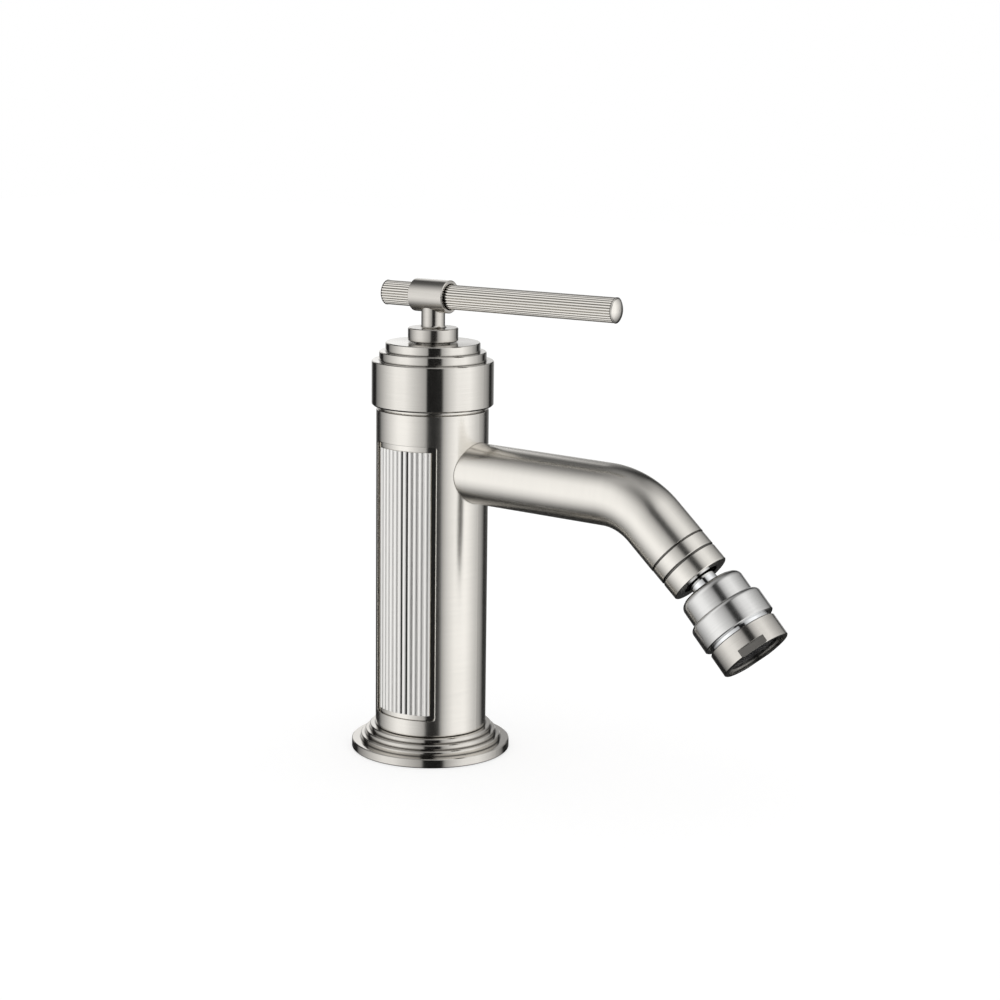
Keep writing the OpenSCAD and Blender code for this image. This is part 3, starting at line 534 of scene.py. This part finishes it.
bar_nickel = reeded_metal(
    "bar_nickel", NICKEL, roughness=0.1, origin=bar_middle, axis=ALONG_SPOUT, crest=BAR_R,
    depth=FLUTE_DEPTH, shade=0.85, ends=BAR_REEDS_END,
)
chrome = brushed_metal(
    "chrome", CHROME, roughness=0.05, axis=ALONG_TIP, fine=6000.0, coarse=40.0, depth=0.01,
    edge=0.1, vary=0.015,
)
brass = brushed_metal(
    "turned_brass", BRASS, roughness=0.26, axis=UP, fine=3000.0, coarse=40.0, depth=0.2,
    vary=0.04,
)
steel = brushed_metal(
    "screw_steel", SCREW_STEEL, roughness=0.3, axis=UP, fine=3000.0, coarse=200.0, depth=0.15,
    edge=0.08, vary=0.04,
)
rubber = plain_material("seal_rubber", RUBBER, roughness=0.62, scale=2600.0, depth=0.2)
cartridge_resin = plain_material(
    "cartridge_resin", CARTRIDGE_RESIN, roughness=0.42, scale=1800.0, depth=0.1, spot=0.05
)
seat_resin = plain_material(
    "seat_resin", SEAT_RESIN, roughness=0.36, scale=1800.0, depth=0.08, spot=0.05
)
ceramic = plain_material(
    "disc_ceramic", CERAMIC, roughness=0.16, scale=2200.0, depth=0.03, spot=0.03
)
screen = plain_material(
    "screen_steel", SCREEN_STEEL, roughness=0.42, scale=2400.0, depth=0.12, metallic=1.0
)

FINISHES = {
    column_nickel: ["column_body"],
    cap_nickel: ["stepped_cap"],
    base_nickel: ["base_flange"],
    reeded_nickel: ["left_fluted_panel", "right_fluted_panel"],
    lever_nickel: ["lever_hub"],
    bar_nickel: ["lever_rod"],
    spout_nickel: ["spout_tube"],
    tip_nickel: ["spout_end_ring", "ball_collar"],
    head_nickel: ["swivel_body"],
    cup_nickel: ["aerator_cup"],
    chrome: ["ball_stud"],
    brass: ["cartridge_nut", "spindle", "ball_retainer"],
    steel: ["rod_grub_screw", "hub_grub_screw", "spout_grub_screw"],
    rubber: [
        "deck_gasket",
        "cartridge_base_seals",
        "spindle_seal",
        "spout_seal_ring",
        "stud_gasket",
        "ball_seal",
        "aerator_gasket",
    ],
    cartridge_resin: ["cartridge_housing", "cartridge_base"],
    seat_resin: ["ball_seat"],
    ceramic: ["fixed_ceramic_disc", "moving_ceramic_disc"],
    screen: ["aerator_insert", "aerator_screen"],
}

for material, names in FINISHES.items():
    for name in names:
        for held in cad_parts[name].material_slots:
            held.material = material


# Spout, one smooth sweep in place of the solid's run, bend and end, in mm

SPOUT_Z = 103.48
SPOUT_FALL = math.radians(1.4)
SPOUT_RUN = 72.9
BEND_R = 27.2
BEND_ANGLE = math.radians(41.4)
BEND_LEN = BEND_R * BEND_ANGLE
BEND_END = SPOUT_RUN + BEND_LEN
TIP_LEN = 12.9
SPOUT_R = 10.8
BORE_R = 8.6
SPIGOT_R = 7.9
SPIGOT_BORE_R = 5.0
SPIGOT_END = 8.9
SHOULDER = 14.6
BORE_STEP = 18.6
RING_START = 12.6
RING_END = 14.2
RING_FLOOR_R = 6.4
SEGMENTS = 128
RUN_STEPS = 6
BEND_STEPS = 28
SHARP_ANGLE = math.radians(30)


def spout_point(distance):
    """Centre and direction of the spout's axis at a distance along it."""
    run = min(distance, SPOUT_RUN)
    turned = min(max(distance - SPOUT_RUN, 0.0), BEND_LEN) / BEND_R
    tip = max(distance - BEND_END, 0.0)
    along = run + BEND_R * math.sin(turned) + tip * math.cos(turned)
    down = BEND_R * (1 - math.cos(turned)) + tip * math.sin(turned)
    angle = SPOUT_FALL + turned
    x = along * math.cos(SPOUT_FALL) - down * math.sin(SPOUT_FALL)
    z = SPOUT_Z - along * math.sin(SPOUT_FALL) - down * math.cos(SPOUT_FALL)
    return Vector((x, 0, z)), Vector((math.cos(angle), 0, -math.sin(angle)))


def swept_tube(name, stations, material):
    """A closed ring of sections swept along the spout's axis from (distance, radius) pairs."""
    points, faces = [], []
    side = Vector((0, 1, 0))
    for distance, radius in stations:
        centre, heading = spout_point(distance)
        lift = heading.cross(side)
        for k in range(SEGMENTS):
            turn_angle = 2 * math.pi * k / SEGMENTS
            offset = side * math.cos(turn_angle) + lift * math.sin(turn_angle)
            points.append((centre + offset * radius) * MM)
    for j in range(len(stations)):
        ring, after = j * SEGMENTS, (j + 1) % len(stations) * SEGMENTS
        for k in range(SEGMENTS):
            step = (k + 1) % SEGMENTS
            faces.append((ring + k, ring + step, after + step, after + k))
    mesh = bpy.data.meshes.new(name)
    mesh.from_pydata(points, [], faces)
    for face in mesh.polygons:
        face.use_smooth = True
    mesh.materials.append(material)
    tube = bpy.data.objects.new(name, mesh)
    bpy.context.scene.collection.objects.link(tube)
    split = tube.modifiers.new("sharp_edges", "EDGE_SPLIT")
    split.split_angle = SHARP_ANGLE
    return tube


def spout_stations():
    """The spout's outside from its spigot to its end, then its bore back again."""
    finish = BEND_END + TIP_LEN
    run = [SHOULDER + (SPOUT_RUN - SHOULDER) * k / RUN_STEPS for k in range(RUN_STEPS)]
    bend = [SPOUT_RUN + BEND_LEN * k / BEND_STEPS for k in range(BEND_STEPS + 1)]
    spigot = [
        (SPIGOT_END, SPIGOT_R),
        (RING_START, SPIGOT_R),
        (RING_START, RING_FLOOR_R),
        (RING_END, RING_FLOOR_R),
        (RING_END, SPIGOT_R),
        (SHOULDER, SPIGOT_R),
    ]
    tip = [(BEND_END + finish) / 2, finish]
    outside = [(distance, SPOUT_R) for distance in run + bend + tip]
    bore = [(distance, BORE_R) for distance in [finish] + bend[::-1] + [BORE_STEP]]
    spigot_bore = [(BORE_STEP, SPIGOT_BORE_R), (SPIGOT_END, SPIGOT_BORE_R)]
    return spigot + outside + bore + spigot_bore


spout = swept_tube("spout_sweep", spout_stations(), spout_nickel)
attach(spout, "root")
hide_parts("spout_tube")


# Camera, at the photograph's viewpoint: lens in mm, places in metres and angles in radians

LENS = 79.65
SENSOR = 36
NEAREST = 0.01
FARTHEST = 20
CAMERA_DISTANCE = 0.7775
CAMERA_HEIGHT = 0.2434
PITCH = 0.193154
ROLL = 0.0127245
YAW = 0.0313022
TURN = math.radians(35)


def place_camera():
    """The scene's camera, turned about the column to the photograph's side."""
    level_run = math.cos(PITCH)
    forward = Vector((math.sin(YAW) * level_run, math.cos(YAW) * level_run, -math.sin(PITCH)))
    level = forward.cross(UP).normalized()
    upright = level.cross(forward)
    right = level * math.cos(ROLL) + upright * math.sin(ROLL)
    top = upright * math.cos(ROLL) - level * math.sin(ROLL)
    turn = Matrix.Rotation(TURN, 3, "Z")
    axes = Matrix([turn @ right, turn @ top, turn @ -forward]).transposed()
    stand = turn @ Vector((0, -CAMERA_DISTANCE, CAMERA_HEIGHT))
    data = bpy.data.cameras.new("camera")
    data.lens = LENS
    data.sensor_width = SENSOR
    data.clip_start = NEAREST
    data.clip_end = FARTHEST
    camera = bpy.data.objects.new("camera", data)
    camera.matrix_world = Matrix.Translation(stand) @ axes.to_4x4()
    bpy.context.scene.collection.objects.link(camera)
    bpy.context.scene.camera = camera


# Studio light: a tall soft panel on each side, a panel behind and dark gaps between them

# Strength of the side panels by direction, in degrees from the camera's side, positive to the right
SIDE_LEVELS = [
    (-172, 0.05),
    (-160, 0.02),
    (-136, 0.02),
    (-129, 0.3),
    (-122, 0.42),
    (-92, 0.98),
    (-74, 1.27),
    (-55, 1.27),
    (-38, 0.94),
    (-13, 0.5),
    (-10, 0.006),
    (17, 0.006),
    (22, 0.55),
    (32, 0.87),
    (48, 1.25),
    (74, 1.33),
    (96, 0.9),
    (120, 0.46),
    (130, 0.25),
    (135, 0.02),
    (160, 0.02),
]
# Share of that strength by height above the horizon, in degrees
LOW_HEIGHT = [(-90, 0.03), (-57, 0.08), (-47, 0.4), (-30, 0.78), (-12, 1.0)]
LEFT_HEIGHT = LOW_HEIGHT + [(25, 0.95), (42, 0.72), (60, 0.42), (90, 0.35)]
RIGHT_HEIGHT = LOW_HEIGHT + [(50, 0.95), (62, 0.75), (76, 0.4), (90, 0.35)]
# The panel behind, by direction and by height
BACK_LEVELS = [
    (-180, 1.22),
    (-168, 0.95),
    (-150, 0.0),
    (140, 0.0),
    (156, 0.5),
    (168, 1.05),
    (180, 1.22),
]
BACK_HEIGHT = [
    (-40, 0.0),
    (-12, 0.12),
    (-2, 0.8),
    (22, 1.0),
    (34, 0.6),
    (46, 0.08),
    (60, 0.0),
]
# The light overhead, by height
TOP_HEIGHT = [(42, 0.0), (62, 0.22), (80, 0.4)]
# The strength that a ramp's level of 1 stands for, since a ramp holds no higher level
BRIGHTEST = 2.0
DARKEST_SHARE = 0.006
SOFT_STRENGTH = 0.75
WHITE = (1, 1, 1, 1)
# The panels' edges lean outwards or inwards above the horizon
PANEL_MIDDLE = math.radians(65)
PANEL_RISE = math.radians(12)
WIDEN_RIGHT = 0.21
WIDEN_LEFT = -0.1
# The floor, in metres
FLOOR_HALF = 2.5
FLOOR_GAP = 0.05 * MM
FLOOR_GREY = (0.6, 0.6, 0.6, 1)
FLOOR_GLOW = 0.58


def panel_levels(tree):
    """The light panels' strength by direction, as a share of the brightest."""
    direction = add(tree, "ShaderNodeTexCoord").outputs["Generated"]
    from_camera = {"Vector": direction, "Angle": math.pi / 2 - TURN}
    facing = add(tree, "ShaderNodeVectorRotate", from_camera, rotation_type="Z_AXIS").outputs[0]
    parts = add(tree, "ShaderNodeSeparateXYZ", {0: facing}).outputs
    azimuth = maths(tree, "ARCTAN2", parts["Y"], parts["X"])
    height = maths(tree, "ARCSINE", parts["Z"])
    height_place = mask(tree, height, -math.pi / 2, math.pi / 2)
    to_right = maths(tree, "GREATER_THAN", azimuth, 0.0)
    to_left = maths(tree, "SUBTRACT", 1.0, to_right)
    raised = mask(tree, height, 0.0, PANEL_RISE)
    widen = spread(tree, to_right, 0.0, 1.0, WIDEN_LEFT, WIDEN_RIGHT)
    middle = spread(tree, to_right, 0.0, 1.0, -PANEL_MIDDLE, PANEL_MIDDLE)
    off_middle = maths(tree, "SUBTRACT", azimuth, middle)
    moved = maths(tree, "MULTIPLY", maths(tree, "MULTIPLY", raised, widen), off_middle)
    round_place = mask(tree, maths(tree, "SUBTRACT", azimuth, moved), -math.pi, math.pi)

    def round_ramp(levels):
        return ramp(tree, round_place, [((a + 180) / 360, b / BRIGHTEST) for a, b in levels])

    def height_ramp(levels):
        return ramp(tree, height_place, [((h + 90) / 180, level) for h, level in levels])

    left_height = maths(tree, "MULTIPLY", to_left, height_ramp(LEFT_HEIGHT))
    right_height = maths(tree, "MULTIPLY", to_right, height_ramp(RIGHT_HEIGHT))
    side_height = maths(tree, "ADD", left_height, right_height)
    sides = maths(tree, "MULTIPLY", round_ramp(SIDE_LEVELS), side_height)
    back = maths(tree, "MULTIPLY", round_ramp(BACK_LEVELS), height_ramp(BACK_HEIGHT))
    overhead = maths(tree, "MULTIPLY", height_ramp(TOP_HEIGHT), 1 / BRIGHTEST)
    lights = maths(tree, "MAXIMUM", maths(tree, "MAXIMUM", sides, back), overhead)
    return maths(tree, "MAXIMUM", lights, DARKEST_SHARE)


def studio_light():
    """The world: white to the camera, light panels to the metal, even soft light to the rest."""
    world = bpy.data.worlds.new("studio")
    bpy.context.scene.world = world
    tree = empty_tree(world)

    def glow(colour, strength):
        links = {"Color": colour, "Strength": strength}
        return add(tree, "ShaderNodeBackground", links).outputs[0]

    def either(factor, first, second):
        return add(tree, "ShaderNodeMixShader", {0: factor, 1: first, 2: second}).outputs[0]

    path = add(tree, "ShaderNodeLightPath").outputs
    panels = glow(panel_levels(tree), BRIGHTEST)
    lit = either(path["Is Glossy Ray"], glow(WHITE, SOFT_STRENGTH), panels)
    shown = either(path["Is Camera Ray"], lit, glow(WHITE, 1.0))
    add(tree, "ShaderNodeOutputWorld", {"Surface": shown})


def floor_material():
    """A plain white floor that keeps the shadow; metal sees past it to the light panels."""
    material = bpy.data.materials.new("floor")
    tree = empty_tree(material)
    mirrored = add(tree, "ShaderNodeLightPath").outputs["Is Glossy Ray"]
    matt = add(tree, "ShaderNodeBsdfDiffuse", {"Color": FLOOR_GREY}).outputs[0]
    shining = {"Color": WHITE, "Strength": FLOOR_GLOW}
    glow = add(tree, "ShaderNodeEmission", shining).outputs[0]
    white = add(tree, "ShaderNodeAddShader", {0: matt, 1: glow}).outputs[0]
    clear = add(tree, "ShaderNodeBsdfTransparent").outputs[0]
    surface = add(tree, "ShaderNodeMixShader", {0: mirrored, 1: white, 2: clear}).outputs[0]
    add(tree, "ShaderNodeOutputMaterial", {"Surface": surface})
    return material


def make_floor():
    """The floor under the deck gasket."""
    half = FLOOR_HALF
    mesh = bpy.data.meshes.new("floor")
    corners = [(-half, -half, 0), (half, -half, 0), (half, half, 0), (-half, half, 0)]
    mesh.from_pydata(corners, [], [(0, 1, 2, 3)])
    mesh.materials.append(floor_material())
    floor = bpy.data.objects.new("floor", mesh)
    floor.location.z = cad_box[0].z - FLOOR_GAP
    bpy.context.scene.collection.objects.link(floor)


place_camera()
studio_light()
make_floor()
bpy.context.scene.view_settings.view_transform = "Standard"
